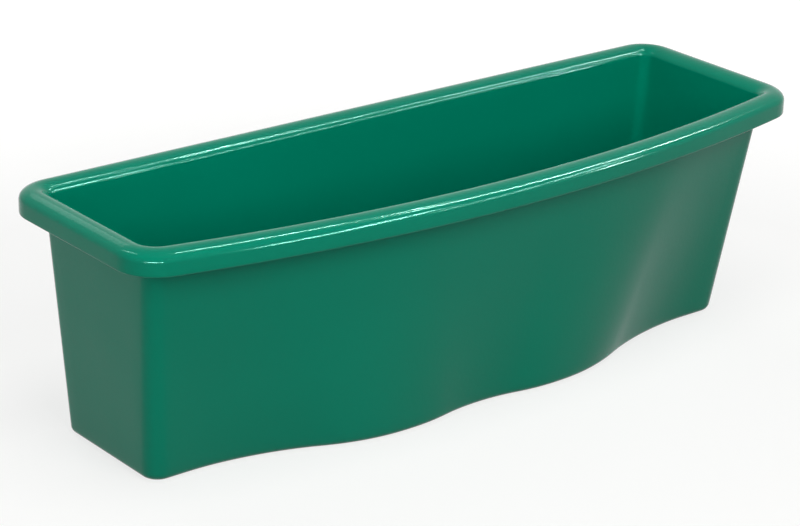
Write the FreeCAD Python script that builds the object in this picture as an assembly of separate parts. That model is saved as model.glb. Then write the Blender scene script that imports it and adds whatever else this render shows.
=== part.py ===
"""Window box planter: a bow-fronted trough with a turned-down rim, two lift-out drainage grids
and four pull-out drain plugs.

Frame: X runs along the trough, the bowed front faces -Y, +Z is up. The origin is on the
ground, at the centre of the rim's overall length and depth. All sizes are in millimetres.
"""
import FreeCAD
import Part
import math
import os
from dataclasses import dataclass

from FreeCAD import Vector

# ---------------------------------------------------------------- driving dimensions
# Rim, seen from above
LENGTH = 800.0              # over the rim
END_DEPTH = 220.0           # rim depth where the bow would meet the ends
BOW = 50.0                  # how far the rim's front arches out beyond that
WALL_BACK_RADIUS = 14.0     # upright corners of the wall, the same from the foot to the rim
WALL_FRONT_RADIUS = 18.0

# Rim, in section: an inverted U with a long outer lip
HEIGHT = 248.0
RIM_OVERHANG = 23.8         # from the rim's outer edge in to the wall's outer face
DOME_HEIGHT = 10.0
ARCH_SIDE_SHARE = 0.8       # radius of the dome's two sides, as a part of its height
LIP_DROP = 13.0             # straight part of the lip below the dome
WALL = 3.2
LIP_WALL = 3.0

# Foot of the wall: how far it stands in from the rim's outer edge
FOOT_END_INSET = 45.0
FOOT_BACK_INSET = 26.0
FOOT_FRONT_INSET = 48.5
FOOT_EDGE_RADIUS = 7.0      # rounding where the wall turns into the floor
FOOT_EDGE_STEPS = 3         # flats that make up that rounding

# Double wave along the front of the foot
CREST_X = 90.0
CREST_RISE = 47.0
VALLEY_DIP = 9.0
FLANK_END_X = 312.0
CREST_SHARE = 0.43          # part of each flank that the convex bend takes
VALLEY_SHARE = 0.5          # part of each middle bend that the hollow takes
FAN = 0.6                   # how far the wave's generators spread out towards the rim's ends

# Floor: two raised panels, so that the trough stands on the strip around them
FLOOR = 3.6
PANEL_LIFT = 8.0
PANEL_LENGTH = 300.0
PANEL_DEPTH = 100.0
PANEL_BAR = 50.0            # width of the cross strip between the panels
PANEL_BACK_INSET = 24.0     # from the foot's back face to the panels
PANEL_RADIUS = 16.0
PANEL_DRAFT = 4.0           # how much smaller the panels are at their tops, on each side

# Drain plugs
DRAIN_BORE_RADIUS = 8.0
DRAIN_X = (75.0, 275.0)     # along each half of the trough
PLUG_RUNNING_GAP = 0.05
PLUG_SEAT_GAP = 0.25
PLUG_HEAD_RADIUS = 13.0
PLUG_HEAD_THICKNESS = 2.4
PLUG_STANDOUT = 2.5         # how far the plug's skirt shows above the panel
PLUG_SKIRT_WALL = 2.2
PLUG_CHAMFER = 0.8
PLUG_TAB_LENGTH = 14.0
PLUG_TAB_THICKNESS = 3.0
PLUG_TAB_DROP = 3.4
TAB_ROUNDING = 0.6          # of the tab's drop, at its two free corners

# Drainage grids
GRID_TOP = 46.0
GRID_THICKNESS = 3.0
GRID_WALL_GAP = 2.5         # to the trough's wall, all round
GRID_SPLIT_GAP = 2.0        # between the two halves
GRID_SKIRT_DROP = 9.0
GRID_SKIRT_WALL = 2.4
GRID_SEAT_GAP = 0.25
SLOT_LENGTH = 26.0
SLOT_WIDTH = 4.0
SLOT_FIRST_X = 15.0
SLOT_PITCH_X = 20.0
SLOT_PITCH_Y = 36.0
SLOT_MARGIN = 9.0           # solid edge kept between the slots and the skirt
LIFT_HOLE_RADIUS = 12.0
LEG_RADIUS = 6.5
LEG_FOOT_RADIUS = 4.5
LEG_MARGIN = 1.0            # solid plate kept round the legs and the finger hole
LEG_X = (45.0, 185.0, 305.0)
LEG_SPREAD = 32.0           # from the middle of the panel, to the back and to the front
RIB_WALL = 2.4
RIB_DROP = 7.0
RIB_X = (105.0, 245.0)
LIFT_HOLE_X = 145.0

# ---------------------------------------------------------------- derived sizes
DEPTH = END_DEPTH + BOW
BACK_Y = DEPTH / 2
WALL_TOP = HEIGHT - DOME_HEIGHT
LIP_BOTTOM = WALL_TOP - LIP_DROP
BOW_RADIUS = ((LENGTH / 2) ** 2 + BOW ** 2) / (2 * BOW)
BOW_CENTRE_Y = BACK_Y - DEPTH + BOW_RADIUS
FOOT_HALF_LENGTH = LENGTH / 2 - FOOT_END_INSET
FOOT_BACK_Y = BACK_Y - FOOT_BACK_INSET
FOOT_FRONT_Y = BACK_Y - END_DEPTH + FOOT_FRONT_INSET
PANEL_TOP = PANEL_LIFT + FLOOR
PANEL_CENTRE_X = PANEL_BAR / 2 + PANEL_LENGTH / 2
PANEL_CENTRE_Y = FOOT_BACK_Y - PANEL_BACK_INSET - PANEL_DEPTH / 2
TINY = 1e-6
LEVEL_TOLERANCE = 1e-3


# ---------------------------------------------------------------- outlines of the wall
@dataclass(frozen=True)
class Station:
    """A point on the front of an outline, with the outline's angle there."""

    x: float
    y: float
    angle: float


@dataclass(frozen=True)
class Section:
    """A level outline of the trough: straight back and ends, round corners, curved front."""

    half_length: float
    back_y: float
    back_radius: float
    front_radius: float
    front: tuple

    def inset(self, gap):
        """The parallel outline that lies inside this one by the gap."""
        front = tuple(Station(s.x - gap * math.sin(s.angle), s.y + gap * math.cos(s.angle), s.angle)
                      for s in self.front)
        return Section(self.half_length - gap, self.back_y - gap, self.back_radius - gap,
                       self.front_radius - gap, front)

    def blend(self, other, share):
        """The outline that lies part of the way from this one to the other."""
        def mix(a, b):
            return a + (b - a) * share
        front = tuple(Station(mix(a.x, b.x), mix(a.y, b.y), mix(a.angle, b.angle))
                      for a, b in zip(self.front, other.front))
        return Section(mix(self.half_length, other.half_length), mix(self.back_y, other.back_y),
                       mix(self.back_radius, other.back_radius),
                       mix(self.front_radius, other.front_radius), front)


def s_bend(x0, y0, x1, y1, share):
    """The first two stations of an S of two tangent arcs that leaves and arrives level."""
    turn = 2 * math.atan2(y1 - y0, x1 - x0)
    return [Station(x0, y0, 0.0), Station(x0 + share * (x1 - x0), y0 + share * (y1 - y0), turn)]


def mirrored(right):
    """Stations of the whole front, from those of its right half, which start in the middle."""
    left = [Station(-s.x, s.y, -s.angle) for s in reversed(right[1:])]
    return tuple(left + list(right))


def foot_section():
    """The wall's outer face at the ground: a flat shoulder at each end and a double wave between."""
    crest_y = FOOT_FRONT_Y - CREST_RISE
    right = s_bend(0.0, crest_y + VALLEY_DIP, CREST_X, crest_y, VALLEY_SHARE)
    right += s_bend(CREST_X, crest_y, FLANK_END_X, FOOT_FRONT_Y, CREST_SHARE)
    right.append(Station(FLANK_END_X, FOOT_FRONT_Y, 0.0))
    right.append(Station(FOOT_HALF_LENGTH - WALL_FRONT_RADIUS, FOOT_FRONT_Y, 0.0))
    return Section(FOOT_HALF_LENGTH, FOOT_BACK_Y, WALL_BACK_RADIUS, WALL_FRONT_RADIUS, mirrored(right))


def top_section(foot):
    """The wall's outer face under the rim: one bow, with a station for each one on the foot."""
    radius = BOW_RADIUS - RIM_OVERHANG
    half_length = LENGTH / 2 - RIM_OVERHANG
    end_angle = math.asin((half_length - WALL_FRONT_RADIUS) / (radius - WALL_FRONT_RADIUS))
    foot_end = foot.front[-1].x
    right = []
    for station in foot.front[len(foot.front) // 2:]:
        along = station.x / foot_end
        angle = end_angle * (along + FAN * along * (1 - along))
        right.append(Station(radius * math.sin(angle), BOW_CENTRE_Y - radius * math.cos(angle), angle))
    return Section(half_length, BACK_Y - RIM_OVERHANG, WALL_BACK_RADIUS, WALL_FRONT_RADIUS,
                   mirrored(right))


FOOT = foot_section()
TOP = top_section(FOOT)


def wall_section(z, inset=0.0):
    """The wall's level outline at a height, moved in by the inset."""
    return FOOT.inset(inset).blend(TOP.inset(inset), z / WALL_TOP)


def front_curve(section, z):
    """The front of a section: a spline through its stations, spaced as they are on the rim's bow."""
    knots = [station.angle for station in TOP.front]
    points = [Vector(s.x, s.y, z) for s in section.front]
    tangents = []
    for index, station in enumerate(section.front):
        before, after = max(index - 1, 0), min(index + 1, len(points) - 1)
        speed = (points[after] - points[before]).Length / (knots[after] - knots[before])
        tangents.append(Vector(math.cos(station.angle), math.sin(station.angle), 0) * speed)
    curve = Part.BSplineCurve()
    curve.interpolate(Points=points, Parameters=knots, Tangents=tangents,
                      TangentFlags=[True] * len(points))
    return curve.toShape()


def corner(start, end, centre):
    """A round corner about a centre."""
    outward = (start + end) / 2 - centre
    middle = centre + outward.normalize() * (start - centre).Length
    return Part.Arc(start, middle, end).toShape()


def front_arc(section, z):
    """The front of an outline that is one true bow."""
    first, last = section.front[0], section.front[-1]
    middle = section.front[len(section.front) // 2]
    return Part.Arc(*(Vector(s.x, s.y, z) for s in (first, middle, last))).toShape()


def outline(section, z, front=front_curve):
    """A closed wire around a section, starting at the middle of the back."""
    side = section.half_length
    back = section.back_y
    back_turn_x = side - section.back_radius
    back_turn_y = back - section.back_radius
    last = section.front[-1]
    front_turn_x = side - section.front_radius
    front_turn_y = last.y + section.front_radius * math.cos(last.angle)

    def end(sign):
        """The edges of one end, from the back round to the front."""
        back_point = Vector(sign * back_turn_x, back, z)
        back_of_end = Vector(sign * side, back_turn_y, z)
        front_of_end = Vector(sign * side, front_turn_y, z)
        front_point = Vector(sign * last.x, last.y, z)
        return [
            Part.makeLine(Vector(0, back, z), back_point),
            corner(back_point, back_of_end, Vector(sign * back_turn_x, back_turn_y, z)),
            Part.makeLine(back_of_end, front_of_end),
            corner(front_of_end, front_point, Vector(sign * front_turn_x, front_turn_y, z)),
        ]

    return Part.Wire(end(1) + [front(section, z)] + list(reversed(end(-1))))


# ---------------------------------------------------------------- small builders
def solid(shape):
    """The single solid of a shape, with its split faces joined again."""
    joined = shape.removeSplitter()
    if len(joined.Solids) != 1 or not joined.isValid():
        raise ValueError(f"expected one sound solid, got {len(joined.Solids)}")
    return joined.Solids[0]


def rounded_rectangle(centre_x, centre_y, length, depth, radius, z):
    """A level wire: a rectangle with round corners."""
    turn_x, turn_y = length / 2 - radius, depth / 2 - radius
    edges = []
    previous = None
    for quarter, (side_x, side_y) in enumerate(((1, 1), (1, -1), (-1, -1), (-1, 1))):
        centre = Vector(centre_x + side_x * turn_x, centre_y + side_y * turn_y, z)
        angle = math.pi / 2 * (1 - quarter)
        start = centre + Vector(radius * math.cos(angle), radius * math.sin(angle), 0)
        end = centre + Vector(radius * math.sin(angle), -radius * math.cos(angle), 0)
        if previous:
            edges.append(Part.makeLine(previous, start))
        edges.append(corner(start, end, centre))
        previous = end
    edges.append(Part.makeLine(previous, edges[0].firstVertex().Point))
    return Part.Wire(edges)


def ring_profile(points):
    """A face to be turned about Z, from (radius, height) points."""
    corners = [Vector(radius, 0, z) for radius, z in points]
    return Part.Face(Part.makePolygon(corners + corners[:1]))


def turned(points, x, y):
    """A solid of revolution about the upright line through x, y."""
    body = ring_profile(points).revolve(Vector(0, 0, 0), Vector(0, 0, 1), 360)
    return body.translated(Vector(x, y, 0))


# ---------------------------------------------------------------- trough
def arch(outer_y, inner_y, rise):
    """The three tangent arcs of a flattened arch across the rim, from its outer to its inner side."""
    middle_y = (outer_y + inner_y) / 2
    half = (outer_y - inner_y) / 2
    side = ARCH_SIDE_SHARE * rise
    crown = (half ** 2 + rise ** 2 - 2 * half * side) / (2 * (rise - side))
    turn = math.atan2(half - side, crown - rise)

    def point(y, z):
        return Vector(0, middle_y + y, WALL_TOP + z)

    def on_crown(angle):
        return point(crown * math.sin(angle), rise - crown * (1 - math.cos(angle)))

    def side_arc(sign):
        spring = point(sign * half, 0)
        return corner(spring, on_crown(sign * turn), point(sign * (half - side), 0))

    return [side_arc(1), Part.Arc(on_crown(turn), on_crown(0), on_crown(-turn)).toShape(), side_arc(-1)]


def rim_ring():
    """The turned-down rim: an inverted U, swept round the top of the wall."""
    wall_y = BACK_Y - RIM_OVERHANG
    lip_y = BACK_Y - LIP_WALL
    inner_y = wall_y - WALL

    def at(y, z):
        return Vector(0, y, z)

    under = Part.Arc(at(wall_y, WALL_TOP), at((wall_y + lip_y) / 2, HEIGHT - WALL), at(lip_y, WALL_TOP))
    profile = Part.Wire([
        *arch(BACK_Y, inner_y, DOME_HEIGHT),
        Part.makeLine(at(inner_y, WALL_TOP), at(wall_y, WALL_TOP)),
        under.toShape(),
        Part.makeLine(at(lip_y, WALL_TOP), at(lip_y, LIP_BOTTOM)),
        Part.makeLine(at(lip_y, LIP_BOTTOM), at(BACK_Y, LIP_BOTTOM)),
        Part.makeLine(at(BACK_Y, LIP_BOTTOM), at(BACK_Y, WALL_TOP)),
    ])
    return outline(TOP, WALL_TOP, front_arc).makePipe(Part.Face(profile))


def skin(floor_z, inset, radius):
    """The wall's outer or inner face, rounded into its floor, which closes it at floor_z."""
    levels = []
    for step in range(FOOT_EDGE_STEPS + 1):
        turn = math.pi / 2 * step / FOOT_EDGE_STEPS
        z = floor_z + radius * (1 - math.cos(turn))
        levels.append(outline(wall_section(z, inset + radius * (1 - math.sin(turn))), z))
    levels.append(outline(TOP.inset(inset), WALL_TOP, front_arc))
    return Part.makeLoft(levels, False, True).Faces + [Part.Face(levels[0])]


def panel_block(centre_x, bottom, top, grow):
    """The drafted block of one raised floor panel, grown all round."""
    length, depth = PANEL_LENGTH + 2 * grow, PANEL_DEPTH + 2 * grow
    return Part.makeLoft([
        rounded_rectangle(centre_x, PANEL_CENTRE_Y, length, depth, PANEL_RADIUS + grow, bottom),
        rounded_rectangle(centre_x, PANEL_CENTRE_Y, length - 2 * PANEL_DRAFT,
                          depth - 2 * PANEL_DRAFT, PANEL_RADIUS + grow - PANEL_DRAFT, top),
    ], True, True)


def drain_centres():
    """The plan positions of the drain holes."""
    return [(side * x, PANEL_CENTRE_Y) for side in (-1, 1) for x in DRAIN_X]


def trough():
    """The moulded shell: wall, floor with two raised panels, drain holes and rim."""
    land = Part.makeFace([outline(TOP.inset(inset), WALL_TOP, front_arc) for inset in (0.0, WALL)],
                         "Part::FaceMakerBullseye")
    faces = skin(0.0, 0.0, FOOT_EDGE_RADIUS) + skin(FLOOR, WALL, FOOT_EDGE_RADIUS - WALL) + land.Faces
    shell = Part.makeShell(faces)
    shell.sewShape()
    shell = Part.makeSolid(shell)
    for side in (-1, 1):
        centre_x = side * PANEL_CENTRE_X
        shell = shell.fuse(panel_block(centre_x, FLOOR / 2, PANEL_TOP, WALL))
        shell = shell.cut(panel_block(centre_x, 0.0, PANEL_LIFT, 0.0))
    for x, y in drain_centres():
        shell = shell.cut(Part.makeCylinder(DRAIN_BORE_RADIUS, PANEL_TOP, Vector(x, y, 0)))
    return solid(shell.fuse(rim_ring()))


# ---------------------------------------------------------------- drain plugs
def drain_plug(x, y):
    """A push-in plug: a head under the panel, a hollow skirt through it and a tab to pull."""
    skirt = DRAIN_BORE_RADIUS - PLUG_RUNNING_GAP
    hollow = skirt - PLUG_SKIRT_WALL
    seat = PANEL_LIFT - PLUG_SEAT_GAP
    underside = seat - PLUG_HEAD_THICKNESS
    top = PANEL_TOP + PLUG_STANDOUT
    plug = turned([
        (0, underside),
        (PLUG_HEAD_RADIUS, underside),
        (PLUG_HEAD_RADIUS, seat),
        (skirt, seat),
        (skirt, top - PLUG_CHAMFER),
        (skirt - PLUG_CHAMFER, top),
        (hollow, top),
        (hollow, seat),
        (0, seat),
    ], x, y)
    tab = Part.makeBox(PLUG_TAB_LENGTH, PLUG_TAB_THICKNESS, PLUG_TAB_DROP + PLUG_HEAD_THICKNESS / 2,
                       Vector(x - PLUG_TAB_LENGTH / 2, y - PLUG_TAB_THICKNESS / 2,
                              underside - PLUG_TAB_DROP))
    ends = [edge for edge in tab.Edges if abs(edge.BoundBox.XLength) < TINY
            and abs(edge.BoundBox.ZLength) < TINY and edge.BoundBox.ZMin < underside - TINY]
    return solid(plug.fuse(tab.makeFillet(PLUG_TAB_DROP * TAB_ROUNDING, ends)))


# ---------------------------------------------------------------- drainage grids
def grid_face(gap):
    """The right half of the trough's plan at the grid's skirt, clear of its wall by the gap."""
    skirt_z = GRID_TOP - GRID_SKIRT_DROP
    section = wall_section(skirt_z, WALL + gap)
    whole = Part.Face(outline(section, skirt_z))
    corner_point = Vector(GRID_SPLIT_GAP / 2 + gap - GRID_WALL_GAP, BACK_Y - DEPTH, skirt_z)
    reach = Part.makePlane(section.half_length, DEPTH, corner_point)
    return whole.common(reach).Faces[0]


def leg_places():
    """Where the right grid's legs stand, each with the height of the floor under it."""
    crest_y = FOOT_FRONT_Y - CREST_RISE + WALL
    panel_front_y = PANEL_CENTRE_Y - PANEL_DEPTH / 2 - WALL
    legs = [(x, PANEL_CENTRE_Y + side * LEG_SPREAD, PANEL_TOP) for x in LEG_X for side in (-1, 1)]
    return legs + [(CREST_X, (crest_y + panel_front_y) / 2, FLOOR)]


def leg(x, y, floor):
    """A tapered foot under the grid, which stands on the floor."""
    foot = floor + GRID_SEAT_GAP
    top = GRID_TOP - GRID_THICKNESS
    return Part.makeCone(LEG_FOOT_RADIUS, LEG_RADIUS, top - foot, Vector(x, y, foot))


def slot(x, y):
    """A drain slot, cut through the grid along Y."""
    return Part.makeBox(SLOT_WIDTH, SLOT_LENGTH, 3 * GRID_THICKNESS,
                        Vector(x - SLOT_WIDTH / 2, y - SLOT_LENGTH / 2, GRID_TOP - 2 * GRID_THICKNESS))


def slot_centres(keep_clear):
    """Where drain slots fit: every place of the pattern that keeps its margin all round."""
    field = grid_face(GRID_WALL_GAP + SLOT_MARGIN)
    columns = int((TOP.half_length - SLOT_FIRST_X) // SLOT_PITCH_X) + 1
    rows = int(DEPTH // SLOT_PITCH_Y) + 1
    places = []
    for x in (SLOT_FIRST_X + column * SLOT_PITCH_X for column in range(columns)):
        for y in (PANEL_CENTRE_Y + row * SLOT_PITCH_Y for row in range(-rows, rows + 1)):
            corners = [Vector(x + sx * SLOT_WIDTH / 2, y + sy * SLOT_LENGTH / 2, field.BoundBox.ZMin)
                       for sx in (-1, 1) for sy in (-1, 1)]
            inside = all(field.isInside(point, LEVEL_TOLERANCE, True) for point in corners)
            clear = all(math.hypot(max(abs(x - cx) - SLOT_WIDTH / 2, 0),
                                   max(abs(y - cy) - SLOT_LENGTH / 2, 0)) > radius
                        for cx, cy, radius in keep_clear)
            if inside and clear:
                places.append((x, y))
    return places


def drain_grid():
    """The right half of the drainage floor: slotted plate, skirt, cross ribs and legs."""
    skirt_z = GRID_TOP - GRID_SKIRT_DROP
    under = GRID_TOP - GRID_THICKNESS
    legs = leg_places()
    block = grid_face(GRID_WALL_GAP).extrude(Vector(0, 0, GRID_SKIRT_DROP))
    pocket = grid_face(GRID_WALL_GAP + GRID_SKIRT_WALL).extrude(Vector(0, 0, under - skirt_z))
    grid = block.cut(pocket)
    front_y = BACK_Y - DEPTH
    ribs = [Part.makeBox(RIB_WALL, DEPTH, RIB_DROP, Vector(x - RIB_WALL / 2, front_y, under - RIB_DROP))
            for x in RIB_X]
    grid = grid.fuse([pocket.common(rib) for rib in ribs])
    finger = Part.makeCylinder(LIFT_HOLE_RADIUS, 3 * GRID_THICKNESS,
                               Vector(LIFT_HOLE_X, PANEL_CENTRE_Y, under - GRID_THICKNESS))
    keep_clear = [(x, y, LEG_RADIUS + LEG_MARGIN) for x, y, _ in legs]
    keep_clear.append((LIFT_HOLE_X, PANEL_CENTRE_Y, LIFT_HOLE_RADIUS + LEG_MARGIN))
    slots = [slot(x, y) for x, y in slot_centres(keep_clear)]
    grid = grid.cut(slots + [finger])
    return solid(grid.fuse([leg(*place) for place in legs]))


# ---------------------------------------------------------------- export
def parts():
    """Every node of the planter by name."""
    right = drain_grid()
    nodes = {
        "trough": trough(),
        "drain_grid_right": right,
        "drain_grid_left": right.mirror(Vector(0, 0, 0), Vector(1, 0, 0)),
    }
    for number, (x, y) in enumerate(drain_centres(), start=1):
        nodes[f"drain_plug_{number}"] = drain_plug(x, y)
    return nodes


def main():
    """Write one file for each node."""
    os.makedirs("parts", exist_ok=True)
    for name, shape in parts().items():
        shape.exportStep(f"parts/{name}.step")


if __name__ == "__main__":
    main()
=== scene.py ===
"""Window box planter, dressed: a green moulded trough, two drainage grids and four drain plugs.

The meshes follow the construction frame: X along the trough, the bowed front faces -Y, +Z is up.
Sizes in the classes are in millimetres, and every vertex is placed in metres.
"""
import logging
import math
from collections.abc import Callable, Iterable, Sequence
from dataclasses import dataclass, field
from enum import Enum

import bmesh
import bpy
from mathutils import Matrix, Vector


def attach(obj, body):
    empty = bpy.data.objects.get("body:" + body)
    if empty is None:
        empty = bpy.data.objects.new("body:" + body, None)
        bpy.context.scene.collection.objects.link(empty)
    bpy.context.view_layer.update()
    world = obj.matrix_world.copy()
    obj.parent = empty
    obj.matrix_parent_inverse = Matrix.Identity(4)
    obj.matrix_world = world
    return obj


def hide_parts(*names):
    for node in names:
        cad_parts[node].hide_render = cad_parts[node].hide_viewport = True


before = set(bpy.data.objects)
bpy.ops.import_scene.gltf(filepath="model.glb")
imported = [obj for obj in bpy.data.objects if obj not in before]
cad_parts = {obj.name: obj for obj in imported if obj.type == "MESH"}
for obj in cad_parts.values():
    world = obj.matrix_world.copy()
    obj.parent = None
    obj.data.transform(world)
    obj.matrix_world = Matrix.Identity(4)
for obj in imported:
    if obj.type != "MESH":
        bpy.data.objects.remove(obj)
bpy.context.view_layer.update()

MM = 0.001
SHARP_ANGLE = math.radians(38.0)
COLUMN_LAYER = "column"
LAMP_WATTS = 4.0                        # power of a lamp of radiance 1, per square metre
LAMP_TARGET = Vector((0.0, 0.0, 0.2))   # the point that all lamps face

log = logging.getLogger("window_box")


# ------------------------------------------------------------------ colours and nodes
def linear(hex_colour: str) -> tuple[float, float, float, float]:
    """Turn an sRGB hex colour into the linear colour that shaders take.

    Args:
        hex_colour: six hex digits, with or without a leading hash.

    Returns:
        Red, green, blue and alpha, each from 0 to 1.
    """
    digits = hex_colour.lstrip("#")
    channels = [int(digits[start:start + 2], 16) / 255 for start in (0, 2, 4)]
    lit = [c / 12.92 if c <= 0.04045 else ((c + 0.055) / 1.055) ** 2.4 for c in channels]
    return lit[0], lit[1], lit[2], 1.0


def put(tree: bpy.types.NodeTree, kind: str, settings: dict | None = None,
        inputs: dict | None = None) -> bpy.types.Node:
    """Add a node to a tree.

    Args:
        tree: the node tree of a material or world.
        kind: the node's type name.
        settings: attributes of the node to set.
        inputs: values or sockets for the node's inputs, by name or number.

    Returns:
        The new node.
    """
    node = tree.nodes.new(kind)
    for name, value in (settings or {}).items():
        setattr(node, name, value)
    for key, value in (inputs or {}).items():
        if isinstance(value, bpy.types.NodeSocket):
            tree.links.new(value, node.inputs[key])
        else:
            node.inputs[key].default_value = value
    return node


def cleared_tree(holder: bpy.types.Material | bpy.types.World) -> bpy.types.NodeTree:
    """Switch a material or world to nodes and return its emptied tree."""
    holder.use_nodes = True
    holder.node_tree.nodes.clear()
    return holder.node_tree


def per_metre(millimetres: float) -> float:
    """The texture scale, in repeats per metre, of a pattern whose grain has this size."""
    return 1000.0 / millimetres


# ------------------------------------------------------------------ finishes
@dataclass(frozen=True)
class MouldedFinish:
    """A plastic or rubber whose skin comes from a mould.

    Attributes:
        name: the material's name.
        colour: its main colour.
        second_colour: the colour that it drifts to in places.
        roughness: the lowest and highest roughness of the skin.
        ior: index of refraction.
        specular_level: strength of the skin's reflection, where 0.5 is typical.
        grain_mm: size of the fine texture.
        grain_height_mm: height of the fine texture.
        ripple_mm: size of the slow waves that a large moulding has.
        ripple_height_mm: height of those waves.
        tone_mm: size of the patches of the second colour.
        specular_tint: the reflection's colour where one looks straight at the skin.
    """

    name: str
    colour: str
    second_colour: str
    roughness: tuple[float, float]
    ior: float
    specular_level: float
    grain_mm: float
    grain_height_mm: float
    ripple_mm: float
    ripple_height_mm: float
    tone_mm: float
    specular_tint: str = "#ffffff"

    def material(self) -> bpy.types.Material:
        """Build the finish's material.

        Returns:
            The new material.
        """
        made = bpy.data.materials.new(self.name)
        tree = cleared_tree(made)
        place = put(tree, "ShaderNodeTexCoord").outputs["Object"]
        tone = put(tree, "ShaderNodeTexNoise", inputs={
            "Vector": place, "Scale": per_metre(self.tone_mm), "Detail": 2.0})
        colour = put(tree, "ShaderNodeMix", {"data_type": "RGBA"}, {
            "Factor": tone.outputs["Fac"], 6: linear(self.colour), 7: linear(self.second_colour)})
        grain = put(tree, "ShaderNodeTexNoise", inputs={
            "Vector": place, "Scale": per_metre(self.grain_mm), "Detail": 1.5})
        ripple = put(tree, "ShaderNodeTexNoise", inputs={
            "Vector": place, "Scale": per_metre(self.ripple_mm), "Detail": 0.5})
        rough = put(tree, "ShaderNodeMapRange", inputs={
            "Value": tone.outputs["Fac"], "From Min": 0.3, "From Max": 0.7,
            "To Min": self.roughness[0], "To Max": self.roughness[1]})
        waves = put(tree, "ShaderNodeBump", inputs={
            "Strength": 1.0, "Distance": self.ripple_height_mm * MM,
            "Height": ripple.outputs["Fac"]})
        skin = put(tree, "ShaderNodeBump", inputs={
            "Strength": 1.0, "Distance": self.grain_height_mm * MM, "Height": grain.outputs["Fac"],
            "Normal": waves.outputs["Normal"]})
        surface = put(tree, "ShaderNodeBsdfPrincipled", inputs={
            "Base Color": colour.outputs[2], "Roughness": rough.outputs["Result"], "IOR": self.ior,
            "Specular IOR Level": self.specular_level,
            "Specular Tint": linear(self.specular_tint), "Normal": skin.outputs["Normal"]})
        put(tree, "ShaderNodeOutputMaterial", inputs={"Surface": surface.outputs["BSDF"]})
        return made


# Through-coloured polyethylene, moulded in one piece: a waxy half-gloss skin with a faint orange
# peel, and slow ripples that make the light lines along the rim waver. The specular level is under
# the typical 0.5 and tinted, because the white surroundings would grey so strong a green. The
# studio's gleam lamps make up for it, so under other light the skin looks more matt.
GREEN_POLYETHYLENE = MouldedFinish(
    "green_moulded_polyethylene", colour="#007d63", second_colour="#00745a",
    roughness=(0.10, 0.13), ior=1.51, specular_level=0.15, grain_mm=4.5, grain_height_mm=0.11,
    ripple_mm=70.0, ripple_height_mm=0.9, tone_mm=220.0, specular_tint="#a4fff2")

# Recycled polypropylene, moulded matt: near black, with a fine even grain and a little bloom. Its
# level is lowered for the gleam lamps, but from behind they still whiten a lifted grid.
BLACK_POLYPROPYLENE = MouldedFinish(
    "black_matt_polypropylene", colour="#18191b", second_colour="#212224",
    roughness=(0.48, 0.58), ior=1.49, specular_level=0.3, grain_mm=1.2, grain_height_mm=0.05,
    ripple_mm=60.0, ripple_height_mm=0.05, tone_mm=70.0)

# Soft synthetic rubber from a dull mould: dark grey, with the dusty look of talc in places.
DARK_RUBBER = MouldedFinish(
    "dark_moulded_rubber", colour="#1f2021", second_colour="#2b2b2a", roughness=(0.62, 0.74),
    ior=1.52, specular_level=0.25, grain_mm=0.8, grain_height_mm=0.03, ripple_mm=20.0,
    ripple_height_mm=0.03, tone_mm=9.0)


# ------------------------------------------------------------------ mesh helpers
class Zone(Enum):
    """Which part of the trough a row of its section belongs to."""

    WALL = "between the foot and the rim"
    RIM = "swept round the top of the wall"


@dataclass(frozen=True)
class Row:
    """A level of a swept section.

    Attributes:
        height: above the ground.
        offset: outwards from the outline that is swept.
        zone: the outline that counts.
    """

    height: float
    offset: float
    zone: Zone = Zone.WALL


def sweep_ring(mesh: bmesh.types.BMesh, count: int, rows: Sequence[Row],
               place: Callable[[int, Row], Vector]) -> tuple[list, list]:
    """Start a closed ring of vertices and extrude it from row to row.

    Args:
        mesh: the mesh to build in.
        count: vertices in the ring.
        rows: the rows, from the first to the last.
        place: gives the position of a vertex, from its number in the ring and its row.

    Returns:
        The edges of the first ring and of the last.
    """
    column = mesh.verts.layers.int[COLUMN_LAYER]
    ring = []
    for number in range(count):
        vertex = mesh.verts.new(place(number, rows[0]))
        vertex[column] = number
        ring.append(vertex)
    first = [mesh.edges.new(pair) for pair in zip(ring, ring[1:] + ring[:1])]
    edges = first
    for row in rows[1:]:
        made = bmesh.ops.extrude_edge_only(mesh, edges=edges)["geom"]
        moved = {part for part in made if isinstance(part, bmesh.types.BMVert)}
        for vertex in moved:
            vertex.co = place(vertex[column], row)
        edges = [part for part in made if isinstance(part, bmesh.types.BMEdge)
                 and moved.issuperset(part.verts)]
    return first, edges


def quarter_rows(start: Row, radius: float, from_angle: float, to_angle: float,
                 steps: int) -> list[Row]:
    """Rows along an arc of a section.

    Args:
        start: the arc's centre, with the zone of its rows.
        radius: of the arc.
        from_angle: first angle in degrees, 0 outwards and 90 upwards.
        to_angle: last angle.
        steps: spans along the arc.

    Returns:
        The rows, with both ends.
    """
    rows = []
    for step in range(steps + 1):
        angle = math.radians(from_angle + (to_angle - from_angle) * step / steps)
        rows.append(Row(start.height + radius * math.sin(angle),
                        start.offset + radius * math.cos(angle), start.zone))
    return rows


def round_placer(x: float, y: float, radius: float, spans: int) -> Callable[[int, Row], Vector]:
    """The function that places the vertices of a round hole, which a row's offset widens."""
    def place(number: int, row: Row) -> Vector:
        """Place a vertex."""
        angle = 2 * math.pi * number / spans
        reach = radius + row.offset
        return Vector((x + reach * math.cos(angle), y + reach * math.sin(angle), row.height)) * MM

    return place


def add_box(mesh: bmesh.types.BMesh, middle: Vector, size: tuple[float, float, float]) -> list:
    """Add a box, given in millimetres, and return the edges that lie in its lower half."""
    scale = Matrix.Diagonal((size[0] * MM, size[1] * MM, size[2] * MM, 1))
    place = Matrix.Translation(middle * MM)
    cube = bmesh.ops.create_cube(mesh, size=1.0, matrix=place @ scale)
    edges = dict.fromkeys(edge for vertex in cube["verts"] for edge in vertex.link_edges)
    return [edge for edge in edges if all(v.co.z < middle.z * MM for v in edge.verts)]


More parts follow.
